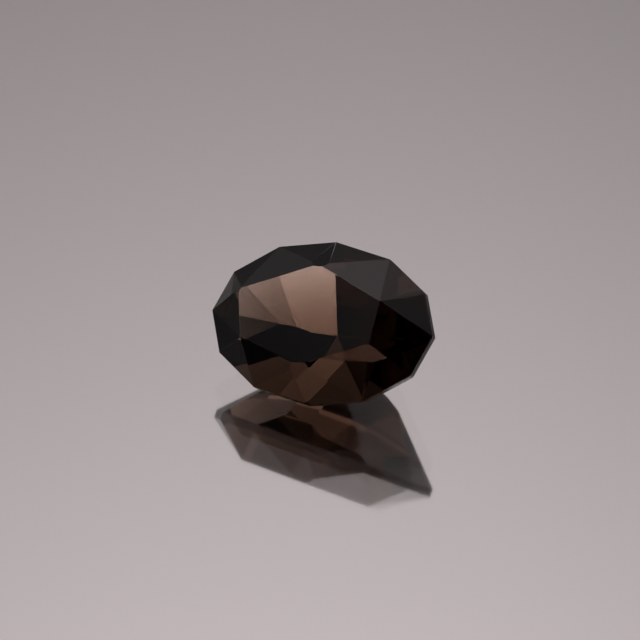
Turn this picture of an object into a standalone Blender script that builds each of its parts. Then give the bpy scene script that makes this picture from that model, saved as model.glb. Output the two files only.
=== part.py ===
"""Oval cut obsidian: one closed solid, ground facet by facet as a lapidary cuts it.

The stone is cut in millimetres in its own frame: X along its length, Y across its width, Z out
through the table, and Z = 0 at the crown edge of the girdle. It is then laid on the lower side
facet that a loose stone of this shape rests on. In the world +Z is up, that facet lies at Z = 0,
and the origin is under the middle of the stone's box.
"""

import math
from collections import namedtuple

import bmesh
import bpy
from mathutils import Matrix, Vector

METRES_PER_MM = 0.001

# Driving dimensions, in millimetres and degrees
LENGTH = 10.0
WIDTH = 7.0
OUTLINE_SIDES = 12  # the oval has a corner at each end of both axes
GIRDLE_THICKNESS = 0.35

CROWN_HEIGHT = 1.29
TABLE_OUTLINE = (  # ground by hand, so its corners are not quite even; the first is toward +Y
    (-0.10, 2.26),
    (2.91, 1.01),
    (2.77, -0.82),
    (-0.19, -2.07),
    (-2.98, -1.19),
    (-3.44, 0.83),
)
CORNER_NIPS = {0: 0.22, 6: 0.33, 10: 0.12}  # girdle corner: how far a sliver cuts the table

# Angles from the girdle plane of the pavilion's facets
BREAK_ANGLE = 61.0
SIDE_ANGLE = 45.4
SHOULDER_ANGLE = 46.2
END_ANGLE = 47.6
SIDE_AZIMUTH = 77.1  # of the large side facets, from the long axis
CULET_DEPTH = 3.55  # below the girdle
CULET_SHIFT_Y = -0.13

# The stone lies on one of the side facets, which was ground a little flatter than the others
RESTING_SIDE = (-1, -1)
RESTING_ANGLE = 43.5
RESTING_AZIMUTH = 78.0
HEADING = -21.1  # of the long axis, about +Z from +X

# The rough block, and how near a cut a corner counts as already on it
BLANK_SIZE = 3.0 * LENGTH
CUT_TOLERANCE = 1e-4

COLOUR = (0.035, 0.020, 0.015, 1.0)
ROUGHNESS = 0.03
REFRACTIVE_INDEX = 1.49

Facet = namedtuple("Facet", "normal point")


def girdle_corner(index, height=0.0):
    """A corner of the oval; corner 0 is at +Y, and they run clockwise seen from the table."""
    angle = math.pi / 2 - 2 * math.pi * index / OUTLINE_SIDES
    return Vector((LENGTH / 2 * math.cos(angle), WIDTH / 2 * math.sin(angle), height))


def table_corner(index):
    """The table's corner above an even girdle corner."""
    return Vector((*TABLE_OUTLINE[index % OUTLINE_SIDES // 2], CROWN_HEIGHT))


def side_azimuth(index):
    """The direction that one side of the outline faces."""
    run = girdle_corner(index + 1) - girdle_corner(index)
    return math.atan2(run.x, -run.y)


def facet_through(first, second, third):
    """The facet through three corners, facing away from the middle of the stone."""
    normal = (second - first).cross(third - first).normalized()
    if normal.dot(first) < 0:
        normal.negate()
    return Facet(normal, first)


def sloped_facet(azimuth, angle, point):
    """A facet under the girdle plane, at an angle to it, that faces an azimuth."""
    slope = math.radians(angle)
    outward = Vector((math.cos(azimuth), math.sin(azimuth), 0.0)) * math.sin(slope)
    return Facet(outward - Vector((0.0, 0.0, math.cos(slope))), point)


def girdle_facets():
    """The upright facets of the outline."""
    return [sloped_facet(side_azimuth(i), 90.0, girdle_corner(i)) for i in range(OUTLINE_SIDES)]


def corner_nip(index, length):
    """A sliver of a facet, from a girdle corner to a short edge across the table's corner."""
    corner = table_corner(index)
    ends = []
    for neighbour in (index - 2, index + 2):
        along = (table_corner(neighbour) - corner).normalized()
        ends.append(corner + along * length)
    return facet_through(girdle_corner(index), *ends)


def crown_facets():
    """The table, two facets at each of its corners, a star facet on each side, and the nips."""
    facets = [Facet(Vector((0.0, 0.0, 1.0)), Vector((0.0, 0.0, CROWN_HEIGHT)))]
    for index in range(0, OUTLINE_SIDES, 2):
        corner = table_corner(index)
        for neighbour in (index - 1, index + 1):
            facets.append(facet_through(girdle_corner(index), girdle_corner(neighbour), corner))
        facets.append(facet_through(corner, girdle_corner(index + 1), table_corner(index + 2)))
    for index, length in CORNER_NIPS.items():
        facets.append(corner_nip(index, length))
    return facets


def side_facet(toward_x, toward_y):
    """One of the four large facets that meet at the culet."""
    culet = Vector((0.0, CULET_SHIFT_Y, -GIRDLE_THICKNESS - CULET_DEPTH))
    resting = (toward_x, toward_y) == RESTING_SIDE
    from_x = math.radians(RESTING_AZIMUTH if resting else SIDE_AZIMUTH)
    azimuth = math.atan2(toward_y * math.sin(from_x), toward_x * math.cos(from_x))
    return sloped_facet(azimuth, RESTING_ANGLE if resting else SIDE_ANGLE, culet)


def pavilion_facets():
    """A facet under each side of the outline, and the four side facets below them."""
    angles = (BREAK_ANGLE, SHOULDER_ANGLE, END_ANGLE)
    facets = []
    for index in range(OUTLINE_SIDES):
        from_short_axis = index % (OUTLINE_SIDES // 2)
        band = min(from_short_axis, OUTLINE_SIDES // 2 - 1 - from_short_axis)
        under_girdle = girdle_corner(index, -GIRDLE_THICKNESS)
        facets.append(sloped_facet(side_azimuth(index), angles[band], under_girdle))
    for toward_x in (-1, 1):
        for toward_y in (-1, 1):
            facets.append(side_facet(toward_x, toward_y))
    return facets


def grind(stone, facet):
    """Takes off what lies outside a facet's plane, and closes the stone with the new flat face."""
    cut = bmesh.ops.bisect_plane(
        stone,
        geom=stone.verts[:] + stone.edges[:] + stone.faces[:],
        dist=CUT_TOLERANCE,
        plane_co=facet.point,
        plane_no=facet.normal,
        clear_outer=True,
    )
    rim = [item for item in cut["geom_cut"] if isinstance(item, bmesh.types.BMEdge)]
    open_rim = [edge for edge in rim if edge.is_boundary]
    if open_rim:
        bmesh.ops.edgeloop_fill(stone, edges=open_rim)


def cut_stone():
    """The finished stone in its own frame, ground from a block."""
    stone = bmesh.new()
    bmesh.ops.create_cube(stone, size=BLANK_SIZE)
    for facet in girdle_facets() + crown_facets() + pavilion_facets():
        grind(stone, facet)
    bmesh.ops.recalc_face_normals(stone, faces=stone.faces[:])
    return stone


def resting_turn():
    """Turns the stone so that the resting facet faces down and the long axis has its heading."""
    down = Vector((0.0, 0.0, -1.0))
    settle = side_facet(*RESTING_SIDE).normal.rotation_difference(down).to_matrix()
    long_axis = settle @ Vector((1.0, 0.0, 0.0))
    heading = math.atan2(long_axis.y, long_axis.x)
    return Matrix.Rotation(math.radians(HEADING) - heading, 3, "Z") @ settle


def lay_down(stone):
    """Rests the stone on its facet over the origin, and brings it to metres."""
    bmesh.ops.transform(stone, matrix=resting_turn().to_4x4(), verts=stone.verts[:])
    low = Vector([min(vert.co[axis] for vert in stone.verts) for axis in range(3)])
    high = Vector([max(vert.co[axis] for vert in stone.verts) for axis in range(3)])
    middle = (low + high) / 2
    bmesh.ops.translate(stone, vec=(-middle.x, -middle.y, -low.z), verts=stone.verts[:])
    bmesh.ops.scale(stone, vec=(METRES_PER_MM,) * 3, verts=stone.verts[:])


def obsidian_material():
    """Polished volcanic glass: dark smoky brown, and clear enough to see through where thin."""
    material = bpy.data.materials.new("polished_obsidian")
    material.use_nodes = True
    surface = material.node_tree.nodes["Principled BSDF"].inputs
    surface["Base Color"].default_value = COLOUR
    surface["Roughness"].default_value = ROUGHNESS
    surface["Metallic"].default_value = 0.0
    surface["IOR"].default_value = REFRACTIVE_INDEX
    return material


def clear_scene():
    for item in list(bpy.data.objects):
        bpy.data.objects.remove(item, do_unlink=True)


def main():
    clear_scene()
    collection = bpy.data.collections.new("obsidian")
    bpy.context.scene.collection.children.link(collection)
    stone = cut_stone()
    lay_down(stone)
    mesh = bpy.data.meshes.new("cut_stone")
    stone.to_mesh(mesh)
    stone.free()
    mesh.materials.append(obsidian_material())
    mesh.shade_flat()
    collection.objects.link(bpy.data.objects.new("cut_stone", mesh))


main()
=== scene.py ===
"""A cut and polished obsidian, and the plain studio that it is shown in.

The stone is smoky brown volcanic glass: a flat table on a faceted crown, a thin upright girdle and
a pointed pavilion. It lies on one pavilion facet, on a pale polished surface that mirrors it.
Everything is in metres, +Z is up, and the surface under the stone is at Z = 0.
"""

import math
from collections import namedtuple

import bmesh
import bpy
from bpy.props import FloatProperty, FloatVectorProperty, IntProperty, PointerProperty
from bpy.types import Operator, Panel, PropertyGroup
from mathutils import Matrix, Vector


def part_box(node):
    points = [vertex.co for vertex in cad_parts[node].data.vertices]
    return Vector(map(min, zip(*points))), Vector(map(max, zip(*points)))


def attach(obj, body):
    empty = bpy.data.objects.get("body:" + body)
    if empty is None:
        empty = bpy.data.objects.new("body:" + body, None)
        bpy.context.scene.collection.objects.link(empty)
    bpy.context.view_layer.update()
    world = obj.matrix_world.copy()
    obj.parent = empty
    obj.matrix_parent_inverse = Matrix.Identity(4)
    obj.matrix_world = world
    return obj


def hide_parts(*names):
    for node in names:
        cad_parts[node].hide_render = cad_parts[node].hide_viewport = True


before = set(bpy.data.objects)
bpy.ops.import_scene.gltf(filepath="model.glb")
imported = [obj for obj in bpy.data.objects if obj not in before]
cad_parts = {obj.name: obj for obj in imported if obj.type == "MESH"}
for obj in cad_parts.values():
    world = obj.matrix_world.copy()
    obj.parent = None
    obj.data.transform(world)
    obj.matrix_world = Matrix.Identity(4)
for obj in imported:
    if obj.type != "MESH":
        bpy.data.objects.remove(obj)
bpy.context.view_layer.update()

bl_info = {
    "name": "Cut obsidian",
    "version": (1, 0, 0),
    "blender": (4, 5, 0),
    "location": "3D View > Sidebar > Obsidian",
    "description": "Builds a faceted obsidian gem and a plain studio around it",
    "category": "Object",
}

MM = 0.001

STONE_NODE = "cut_stone"
STONE_BODY = "root"
GIRDLE_MASK = "girdle"

# One flat face of the stone: the way it faces, its middle and its area
Facet = namedtuple("Facet", "normal centre area")

# Two triangles of one facet differ by less than this, and two facets by much more
SAME_FACET_ANGLE = math.radians(0.2)
CORNER_MERGE = 0.0005 * MM

# A girdle facet stands square to the table: the cosine between their directions is under this
UPRIGHT_LEAN = 0.05

# Flow bands left by the lava, a little off the horizontal: thin layers, wide along and across
BAND_TURN = (0.35, 0.2, 0.4)
BANDS_PER_METRE = (90.0, 90.0, 900.0)
SMOKY_BAND = (0.90, 0.87, 0.85, 1.0)
CLEAR_BAND = (1.0, 0.985, 0.97, 1.0)

# The marks of hand polish
WAVES_PER_METRE = 500.0
SMEARS_PER_METRE = 600.0

# The surface under the stone is a clear sheet with a silvered back, and a dome stands around it
STAGE_RADIUS = 300 * MM
STAGE_SIDES = 64
STONE_CLEARANCE = 0.01 * MM
SHEET_REFRACTIVE_INDEX = 1.45
SURROUND_RADIUS = 1.05 * STAGE_RADIUS
SURROUND_SUBDIVISIONS = 4

# The dome shows straight, at ray depth 0, and by one reflection, but in nothing further
SURROUND_DEPTH = 1.5

# The part of the dome that the surface mirrors toward the camera, as azimuth and elevation, and
# how far from it the dome's glow sets in and is full, all in degrees
BACK_PANEL = (90.0, 39.0)
PANEL_CLEARANCE = (14.0, 34.0)

SENSOR_WIDTH = 36.0  # in millimetres, as the focal length is
CLIP_START = 10 * MM

# A soft light on the studio's sky: its place and how far it fades out, in degrees, and its radiance
SoftLight = namedtuple("SoftLight", "name azimuth elevation spread strength")
SOFT_LIGHTS = (
    SoftLight("ceiling", 120.0, 80.0, 50.0, 1.1),
    SoftLight("overhead softbox", 100.0, 76.0, 30.0, 0.8),
    SoftLight("front strip", 250.0, 74.0, 20.0, 1.5),
    SoftLight("left panel", 150.0, 58.0, 28.0, 0.5),
    SoftLight("front left strip", 206.0, 58.0, 20.0, 0.45),
    SoftLight("back panel top", 90.0, 52.0, 22.0, 0.2),
    SoftLight("back panel", 90.0, 42.0, 20.0, 0.3),
    SoftLight("back panel foot", 90.0, 30.0, 26.0, 0.1),
    SoftLight("right back panel", 50.0, 42.0, 24.0, 0.5),
    SoftLight("right softbox", 0.0, 62.0, 22.0, 0.35),
    SoftLight("right panel", 30.0, 30.0, 28.0, 0.5),
    SoftLight("right wall", 36.0, 6.0, 26.0, 0.75),
    SoftLight("back wall", 120.0, 20.0, 30.0, 0.3),
    SoftLight("left wall", 180.0, 10.0, 34.0, 0.75),
)


# ---------------------------------------------------------------------------------------------
# Settings


class StoneSettings(PropertyGroup):
    """The stone's glass and finish."""

    edge_width: FloatProperty(
        name="Edge width",
        description="Width of the narrow polished bevel along each facet edge",
        default=0.009 * MM,
        unit="LENGTH",
    )
    edge_segments: IntProperty(
        name="Edge segments",
        description="Flat strips across each bevelled edge",
        default=2,
        min=1,
    )
    refractive_index: FloatProperty(
        name="Refractive index",
        description="Index of refraction of the volcanic glass",
        default=1.49,
    )
    absorption: FloatProperty(
        name="Absorption",
        description="How fast light is lost inside the stone, per metre",
        default=930.0,
    )
    tint: FloatVectorProperty(
        name="Tint",
        description="The share of each colour that the smoky glass lets through",
        subtype="COLOR",
        default=(0.50, 0.39, 0.31),
        size=3,
    )
    polish: FloatProperty(
        name="Polish",
        description="Roughness of the polished facets where they are smeared most",
        default=0.05,
    )
    waviness: FloatProperty(
        name="Waviness",
        description="How far the polished facets lean this way and that, as a slope",
        default=0.006,
    )
    ground_girdle: FloatProperty(
        name="Ground girdle",
        description="Roughness of the girdle, which is ground but not fully polished",
        default=0.22,
    )


class StudioSettings(PropertyGroup):
    """The surface that the stone lies on, its surroundings and the camera."""

    mirror_depth: FloatProperty(
        name="Mirror depth",
        description="How far the silvered back of the clear sheet lies under its top",
        default=0.71 * MM,
        unit="LENGTH",
    )
    mirror_tint: FloatVectorProperty(
        name="Mirror tint",
        description="Reflected colour of the pale mirror surface",
        subtype="COLOR",
        default=(0.90, 0.90, 0.90),
        size=3,
    )
    mirror_haze: FloatProperty(
        name="Mirror haze",
        description="Roughness that softens the reflection away from the stone",
        default=0.07,
    )
    studio_tint: FloatVectorProperty(
        name="Studio tint",
        description="Colour of the studio's soft lights",
        subtype="COLOR",
        default=(1.0, 0.89, 0.90),
        size=3,
    )
    surround_strength: FloatProperty(
        name="Surround strength",
        description="Brightness of the pale surroundings that the surface mirrors",
        default=0.45,
    )
    camera_azimuth: FloatProperty(
        name="Camera azimuth",
        description="Direction the camera looks along, from +Y, turned about +Z",
        default=math.radians(0.27),
        subtype="ANGLE",
    )
    camera_elevation: FloatProperty(
        name="Camera elevation",
        description="Height of the camera above the horizon",
        default=math.radians(38.07),
        subtype="ANGLE",
    )
    camera_distance: FloatProperty(
        name="Camera distance",
        description="From the camera to its aim point",
        default=210.9 * MM,
        unit="LENGTH",
    )
    camera_aim: FloatVectorProperty(
        name="Camera aim",
        description="The aim point, from the middle of the stone's box",
        subtype="TRANSLATION",
        default=(-0.13 * MM, 1.47 * MM, -0.80 * MM),
        size=3,
    )
    focal_length: FloatProperty(
        name="Focal length",
        description="Focal length of the long macro lens, in millimetres",
        default=281.25,
    )


# ---------------------------------------------------------------------------------------------
# Node helpers


def add_node(tree, kind, inputs=None, **settings):
    """A new node with its settings, and its inputs given as values or as sockets to link."""
    node = tree.nodes.new(kind)
    for name, value in settings.items():
        setattr(node, name, value)
    for key, value in (inputs or {}).items():
        if isinstance(value, bpy.types.NodeSocket):
            tree.links.new(value, node.inputs[key])
        else:
            node.inputs[key].default_value = value
    return node


def math_node(tree, operation, first, second=0.0):
    """One Math node's result."""
    return add_node(tree, "ShaderNodeMath", {0: first, 1: second}, operation=operation).outputs[0]


def vector_math(tree, operation, inputs):
    """One Vector Math node's result: a number for a dot product, and a vector otherwise."""
    node = add_node(tree, "ShaderNodeVectorMath", inputs, operation=operation)
    return node.outputs["Value" if operation == "DOT_PRODUCT" else "Vector"]


def new_material(name):
    """An empty material and its tree with an output node."""
    material = bpy.data.materials.new(name)
    material.use_nodes = True
    material.node_tree.nodes.clear()
    output = material.node_tree.nodes.new("ShaderNodeOutputMaterial")
    return material, material.node_tree, output


def modifier_input(modifier, name, value):
    """Sets a Geometry Nodes input by its socket's identifier."""
    for item in modifier.node_group.interface.items_tree:
        if item.item_type == "SOCKET" and item.in_out == "INPUT" and item.name == name:
            modifier[item.identifier] = value
            return
    raise KeyError(name)


# ---------------------------------------------------------------------------------------------
# The stone


def obsidian_glass(settings):
    """Polished smoky glass: clear surface, brown depth, faint flow bands and a ground girdle."""
    material, tree, output = new_material("polished_obsidian")
    place = add_node(tree, "ShaderNodeTexCoord").outputs["Object"]

    # The flow bands tint the surface a little
    layers = add_node(
        tree,
        "ShaderNodeMapping",
        {"Vector": place, "Rotation": BAND_TURN, "Scale": BANDS_PER_METRE},
    )
    flow = add_node(
        tree,
        "ShaderNodeTexNoise",
        {"Vector": layers.outputs[0], "Scale": 1.0, "Detail": 3.0, "Roughness": 0.55},
    )
    surface_tint = add_node(
        tree,
        "ShaderNodeMix",
        {"Factor": flow.outputs["Fac"], "A": SMOKY_BAND, "B": CLEAR_BAND},
        data_type="RGBA",
    )

    # Hand polishing leaves the facets very slightly wavy
    waves = add_node(
        tree,
        "ShaderNodeTexNoise",
        {"Vector": place, "Scale": WAVES_PER_METRE, "Detail": 1.0, "Roughness": 0.4},
    )
    mid_grey = (0.5, 0.5, 0.5)
    lean = vector_math(tree, "SUBTRACT", {0: waves.outputs["Color"], 1: mid_grey})
    lean = vector_math(tree, "SCALE", {0: lean, "Scale": settings.waviness})
    flat = add_node(tree, "ShaderNodeNewGeometry").outputs["Normal"]
    wavy = vector_math(tree, "ADD", {0: flat, 1: lean})
    wavy = vector_math(tree, "NORMALIZE", {0: wavy})

    # Faint smears on the polish, and the finely ground girdle
    smears = add_node(
        tree,
        "ShaderNodeTexNoise",
        {"Vector": place, "Scale": SMEARS_PER_METRE, "Detail": 2.0, "Roughness": 0.5},
    )
    smeared = math_node(tree, "MULTIPLY", smears.outputs["Fac"], settings.polish)
    mask = add_node(tree, "ShaderNodeAttribute", attribute_name=GIRDLE_MASK)
    ground = math_node(tree, "MULTIPLY", mask.outputs["Fac"], settings.ground_girdle)
    roughness = math_node(tree, "ADD", smeared, ground)

    surface = add_node(
        tree,
        "ShaderNodeBsdfPrincipled",
        {
            "Base Color": surface_tint.outputs["Result"],
            "Roughness": roughness,
            "Normal": wavy,
            "IOR": settings.refractive_index,
            "Transmission Weight": 1.0,
        },
    )
    depth = add_node(
        tree,
        "ShaderNodeVolumeAbsorption",
        {"Color": (*settings.tint, 1.0), "Density": settings.absorption},
    )
    tree.links.new(surface.outputs[0], output.inputs["Surface"])
    tree.links.new(depth.outputs[0], output.inputs["Volume"])
    return material


def facet_tree():
    """Geometry Nodes that grow a stone from its facets' poles.

    A facet that lies a distance d out from the stone's middle along its normal n has its pole at
    n / d. Each face of the poles' hull then stands for one corner of the stone, the corner being
    the inverse of that face in the same way, and the hull's dual has the stone's own facets.
    """
    tree = bpy.data.node_groups.new("stone_from_facets", "GeometryNodeTree")
    tree.is_modifier = True
    for name, kind in (
        ("Geometry", "NodeSocketGeometry"),
        ("Middle", "NodeSocketVector"),
        ("Table Direction", "NodeSocketVector"),
        ("Corner Merge", "NodeSocketFloat"),
        ("Glass", "NodeSocketMaterial"),
    ):
        tree.interface.new_socket(name, in_out="INPUT", socket_type=kind)
    tree.interface.new_socket("Geometry", in_out="OUTPUT", socket_type="NodeSocketGeometry")
    given = add_node(tree, "NodeGroupInput")

    hull = add_node(tree, "GeometryNodeConvexHull", {"Geometry": given.outputs["Geometry"]})
    normal = add_node(tree, "GeometryNodeInputNormal").outputs["True Normal"]
    position = add_node(tree, "GeometryNodeInputPosition").outputs[0]
    offset = vector_math(tree, "DOT_PRODUCT", {0: normal, 1: position})
    reach = math_node(tree, "DIVIDE", 1.0, offset)
    corner = vector_math(tree, "SCALE", {0: normal, "Scale": reach})

    capture = add_node(tree, "GeometryNodeCaptureAttribute", domain="FACE")
    capture.capture_items.new("VECTOR", "Corner")
    tree.links.new(hull.outputs[0], capture.inputs["Geometry"])
    tree.links.new(corner, capture.inputs["Corner"])

    dual = add_node(tree, "GeometryNodeDualMesh", {"Mesh": capture.outputs["Geometry"]})
    in_place = {0: capture.outputs["Corner"], 1: given.outputs["Middle"]}
    placed = add_node(
        tree,
        "GeometryNodeSetPosition",
        {"Geometry": dual.outputs[0], "Position": vector_math(tree, "ADD", in_place)},
    )
    merged = add_node(
        tree,
        "GeometryNodeMergeByDistance",
        {"Geometry": placed.outputs[0], "Distance": given.outputs["Corner Merge"]},
    )

    # The girdle's facets stand square to the table
    lean = vector_math(tree, "DOT_PRODUCT", {0: normal, 1: given.outputs["Table Direction"]})
    upright = add_node(
        tree,
        "FunctionNodeCompare",
        {"A": math_node(tree, "ABSOLUTE", lean), "B": UPRIGHT_LEAN},
        data_type="FLOAT",
        operation="LESS_THAN",
    )
    masked = add_node(
        tree,
        "GeometryNodeStoreNamedAttribute",
        {"Geometry": merged.outputs[0], "Name": GIRDLE_MASK, "Value": upright.outputs[0]},
        data_type="FLOAT",
        domain="FACE",
    )

    flat = add_node(
        tree,
        "GeometryNodeSetShadeSmooth",
        {"Geometry": masked.outputs[0], "Shade Smooth": False},
    )
    real = add_node(tree, "GeometryNodeRealizeInstances", {"Geometry": flat.outputs[0]})
    finished = add_node(
        tree,
        "GeometryNodeSetMaterial",
        {"Geometry": real.outputs[0], "Material": given.outputs["Glass"]},
    )
    add_node(tree, "NodeGroupOutput", {"Geometry": finished.outputs[0]})
    return tree


def frame_facets():
    """The frame stone's facets, whole again from its loose triangles."""
    stone = bmesh.new()
    stone.from_mesh(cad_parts[STONE_NODE].data)
    bmesh.ops.remove_doubles(stone, verts=stone.verts[:], dist=CORNER_MERGE)
    bmesh.ops.dissolve_limit(
        stone,
        angle_limit=SAME_FACET_ANGLE,
        verts=stone.verts[:],
        edges=stone.edges[:],
    )
    stone.normal_update()
    facets = [
        Facet(face.normal.copy(), face.calc_center_median(), face.calc_area()) for face in stone.faces
    ]
    stone.free()
    return facets


def evaluated_mesh(obj, name):
    """The plain mesh that an object's modifiers make."""
    graph = bpy.context.evaluated_depsgraph_get()
    mesh = bpy.data.meshes.new_from_object(obj.evaluated_get(graph))
    mesh.name = name
    return mesh


def cut_stone(settings):
    """The stone, with its facets where the frame has them and a fine bevel on every edge."""
    low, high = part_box(STONE_NODE)
    middle = (low + high) / 2
    facets = frame_facets()
    table = max(facets, key=lambda facet: facet.area if facet.normal.z > 0 else 0.0)
    poles = [facet.normal / facet.normal.dot(facet.centre - middle) for facet in facets]

    pole_mesh = bpy.data.meshes.new("facet_poles")
    pole_mesh.from_pydata(poles, [], [])
    stone = bpy.data.objects.new("polished_stone", pole_mesh)
    bpy.context.scene.collection.objects.link(stone)

    grow = stone.modifiers.new("grow", "NODES")
    grow.node_group = facet_tree()
    modifier_input(grow, "Middle", middle)
    modifier_input(grow, "Table Direction", table.normal)
    modifier_input(grow, "Corner Merge", CORNER_MERGE)
    modifier_input(grow, "Glass", obsidian_glass(settings))
    edges = stone.modifiers.new("edges", "BEVEL")
    edges.width = settings.edge_width
    edges.segments = settings.edge_segments
    edges.limit_method = "ANGLE"
    edges.angle_limit = SAME_FACET_ANGLE

    stone.data = evaluated_mesh(stone, "polished_stone")
    stone.modifiers.clear()
    return stone


class OBSIDIAN_OT_stone(Operator):
    """Build the polished stone around the frame"""

    bl_idname = "obsidian.stone"
    bl_label = "Polished stone"

    def execute(self, context):
        stone = cut_stone(context.scene.obsidian_stone)
        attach(stone, STONE_BODY)
        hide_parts(STONE_NODE)
        return {"FINISHED"}


# ---------------------------------------------------------------------------------------------
# The studio


def stage_object(name, shape, material):
    """A plain part of the studio, from its bmesh."""
    mesh = bpy.data.meshes.new(name)
    shape.to_mesh(mesh)
    shape.free()
    mesh.materials.append(material)
    item = bpy.data.objects.new(name, mesh)
    bpy.context.scene.collection.objects.link(item)
    return item


def floor_sheet(name, height, material):
    """A wide round level sheet under the stone."""
    disc = bmesh.new()
    bmesh.ops.create_circle(disc, cap_ends=True, segments=STAGE_SIDES, radius=STAGE_RADIUS)
    bmesh.ops.translate(disc, vec=(0.0, 0.0, height), verts=disc.verts[:])
    return stage_object(name, disc, material)


def silvered_back(settings):
    """The pale mirror coat under the clear sheet."""
    material, tree, output = new_material("silvered_back")
    coat = add_node(
        tree,
        "ShaderNodeBsdfGlossy",
        {"Color": (*settings.mirror_tint, 1.0), "Roughness": settings.mirror_haze},
    )
    tree.links.new(coat.outputs[0], output.inputs["Surface"])
    return material


def clear_top():
    """The clear sheet's top: it lets nearly all through, and reflects a little."""
    material, tree, output = new_material("clear_top")
    fresnel = add_node(tree, "ShaderNodeFresnel", {"IOR": SHEET_REFRACTIVE_INDEX}).outputs[0]
    facing = add_node(tree, "ShaderNodeNewGeometry").outputs["Backfacing"]
    gloss = math_node(tree, "MULTIPLY", fresnel, math_node(tree, "SUBTRACT", 1.0, facing))
    through = add_node(tree, "ShaderNodeBsdfTransparent")
    shine = add_node(tree, "ShaderNodeBsdfGlossy", {"Roughness": 0.0})
    top = add_node(
        tree,
        "ShaderNodeMixShader",
        {0: gloss, 1: through.outputs[0], 2: shine.outputs[0]},
    )
    tree.links.new(top.outputs[0], output.inputs["Surface"])
    return material


def direction_to(azimuth, elevation):
    """The unit vector for an azimuth from +X and an elevation, in degrees."""
    around, up = math.radians(azimuth), math.radians(elevation)
    return (math.cos(around) * math.cos(up), math.sin(around) * math.cos(up), math.sin(up))


def fade(tree, direction, toward, start, end, strength):
    """A strength that grows from nothing at one angle from a direction to its whole at another."""
    near = vector_math(tree, "DOT_PRODUCT", {0: direction, 1: toward})
    ramp = add_node(
        tree,
        "ShaderNodeMapRange",
        {
            "Value": math_node(tree, "ARCCOSINE", near),
            "From Min": math.radians(start),
            "From Max": math.radians(end),
            "To Min": 0.0,
            "To Max": strength,
        },
        interpolation_type="SMOOTHSTEP",
    )
    return ramp.outputs["Result"]


def above_horizon(tree, direction):
    """A direction, turned up to the sky where it points down."""
    parts = add_node(tree, "ShaderNodeSeparateXYZ", {0: direction})
    lifted = math_node(tree, "ABSOLUTE", parts.outputs["Z"])
    sky = {"X": parts.outputs["X"], "Y": parts.outputs["Y"], "Z": lifted}
    return add_node(tree, "ShaderNodeCombineXYZ", sky).outputs[0]


def sky_brightness(tree, direction):
    """The soft lights' brightness together."""
    total = 0.0
    for light in SOFT_LIGHTS:
        toward = direction_to(light.azimuth, light.elevation)
        glow = fade(tree, direction, toward, light.spread, 0.0, light.strength)
        glow.node.label = light.name
        total = math_node(tree, "ADD", glow, total)
    return total


def pale_air(settings):
    """The glow of the pale surroundings, which makes up for the sky where that is darker.

    There is none around the back panel, whose own light fades over the floor.
    """
    material, tree, output = new_material("pale_surround")
    place = add_node(tree, "ShaderNodeTexCoord").outputs["Object"]
    outward = vector_math(tree, "NORMALIZE", {0: above_horizon(tree, place)})
    sky = sky_brightness(tree, outward)
    missing = math_node(tree, "SUBTRACT", settings.surround_strength, sky)
    missing = math_node(tree, "MAXIMUM", missing, 0.0)
    share = fade(tree, outward, direction_to(*BACK_PANEL), *PANEL_CLEARANCE, 1.0)
    depth = add_node(tree, "ShaderNodeLightPath").outputs["Ray Depth"]
    shown = math_node(tree, "LESS_THAN", depth, SURROUND_DEPTH)
    strength = math_node(tree, "MULTIPLY", missing, math_node(tree, "MULTIPLY", share, shown))
    glow = add_node(
        tree,
        "ShaderNodeEmission",
        {"Color": (*settings.studio_tint, 1.0), "Strength": strength},
    )
    clear = add_node(tree, "ShaderNodeBsdfTransparent")
    both = add_node(tree, "ShaderNodeAddShader", {0: glow.outputs[0], 1: clear.outputs[0]})
    tree.links.new(both.outputs[0], output.inputs["Surface"])
    material.cycles.emission_sampling = "NONE"
    return material


def pale_surround(settings, sheets):
    """A clear dome whose glow only the floor mirrors, so that the stone keeps its dark studio."""
    dome = bmesh.new()
    bmesh.ops.create_icosphere(dome, subdivisions=SURROUND_SUBDIVISIONS, radius=SURROUND_RADIUS)
    surround = stage_object("pale_surround", dome, pale_air(settings))
    surround.visible_diffuse = False
    surround.visible_transmission = False
    surround.visible_shadow = False
    lit = bpy.data.collections.new("floor_sheets")
    for sheet in sheets:
        lit.objects.link(sheet)
    surround.light_linking.receiver_collection = lit


def studio_sky(settings):
    """The dark studio with its soft lights, the same below the horizon as above it."""
    world = bpy.data.worlds.new("studio")
    world.use_nodes = True
    tree = world.node_tree
    tree.nodes.clear()
    looking = add_node(tree, "ShaderNodeTexCoord").outputs["Generated"]
    total = sky_brightness(tree, above_horizon(tree, looking))
    background = add_node(
        tree,
        "ShaderNodeBackground",
        {"Color": (*settings.studio_tint, 1.0), "Strength": total},
    )
    output = add_node(tree, "ShaderNodeOutputWorld")
    tree.links.new(background.outputs[0], output.inputs["Surface"])
    bpy.context.scene.world = world


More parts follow.
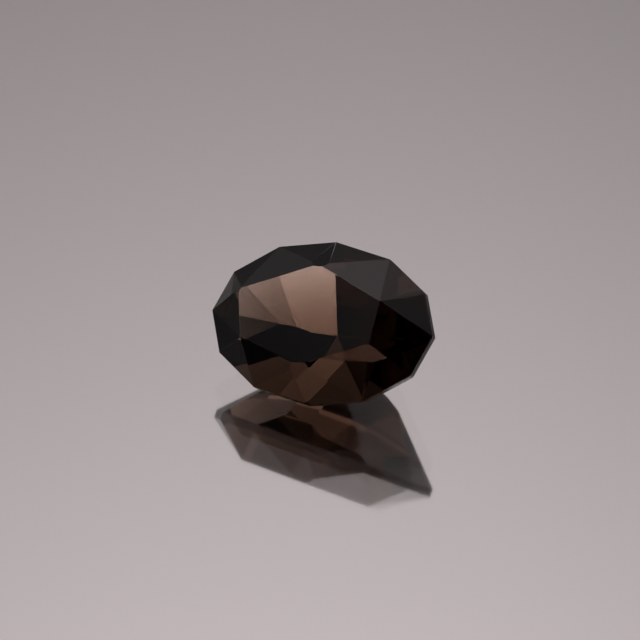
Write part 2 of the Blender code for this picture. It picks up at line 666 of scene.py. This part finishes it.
def aim_camera(settings):
    """A long lens that looks down on the table."""
    low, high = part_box(STONE_NODE)
    aim = (low + high) / 2 + Vector(settings.camera_aim)
    level = math.cos(settings.camera_elevation)
    back = Vector(
        (
            math.sin(settings.camera_azimuth) * level,
            -math.cos(settings.camera_azimuth) * level,
            math.sin(settings.camera_elevation),
        )
    )
    data = bpy.data.cameras.new("camera")
    data.sensor_width = SENSOR_WIDTH
    data.lens = settings.focal_length
    data.clip_start = CLIP_START
    data.dof.use_dof = False
    camera = bpy.data.objects.new("camera", data)
    camera.location = aim + back * settings.camera_distance
    camera.rotation_euler = (-back).to_track_quat("-Z", "Y").to_euler()
    bpy.context.scene.collection.objects.link(camera)
    bpy.context.scene.camera = camera


class OBSIDIAN_OT_studio(Operator):
    """Set up the surface, the soft lights and the camera"""

    bl_idname = "obsidian.studio"
    bl_label = "Studio"

    def execute(self, context):
        settings = context.scene.obsidian_studio
        back = floor_sheet("mirror_floor", -settings.mirror_depth, silvered_back(settings))
        top = floor_sheet("clear_floor", -STONE_CLEARANCE, clear_top())
        pale_surround(settings, (back, top))
        studio_sky(settings)
        aim_camera(settings)
        context.scene.view_settings.view_transform = "Standard"
        # What lies behind the clear facets is noise to the denoiser's guides, which would grain them
        context.scene.cycles.denoising_input_passes = "RGB"
        return {"FINISHED"}


# ---------------------------------------------------------------------------------------------
# The add-on


class OBSIDIAN_PT_tools(Panel):
    """The buttons and settings for the stone and its studio."""

    bl_idname = "OBSIDIAN_PT_tools"
    bl_label = "Cut obsidian"
    bl_space_type = "VIEW_3D"
    bl_region_type = "UI"
    bl_category = "Obsidian"

    def draw(self, context):
        for settings, operator in (
            (context.scene.obsidian_stone, OBSIDIAN_OT_stone),
            (context.scene.obsidian_studio, OBSIDIAN_OT_studio),
        ):
            box = self.layout.box()
            box.operator(operator.bl_idname)
            for name in settings.__annotations__:
                box.prop(settings, name)


CLASSES = (
    StoneSettings,
    StudioSettings,
    OBSIDIAN_OT_stone,
    OBSIDIAN_OT_studio,
    OBSIDIAN_PT_tools,
)


def register():
    for item in CLASSES:
        bpy.utils.register_class(item)
    bpy.types.Scene.obsidian_stone = PointerProperty(type=StoneSettings)
    bpy.types.Scene.obsidian_studio = PointerProperty(type=StudioSettings)


def unregister():
    del bpy.types.Scene.obsidian_studio
    del bpy.types.Scene.obsidian_stone
    for item in reversed(CLASSES):
        bpy.utils.unregister_class(item)


def main():
    """Builds the stone and its studio."""
    register()
    bpy.ops.obsidian.stone()
    bpy.ops.obsidian.studio()


if __name__ == "__main__":
    main()
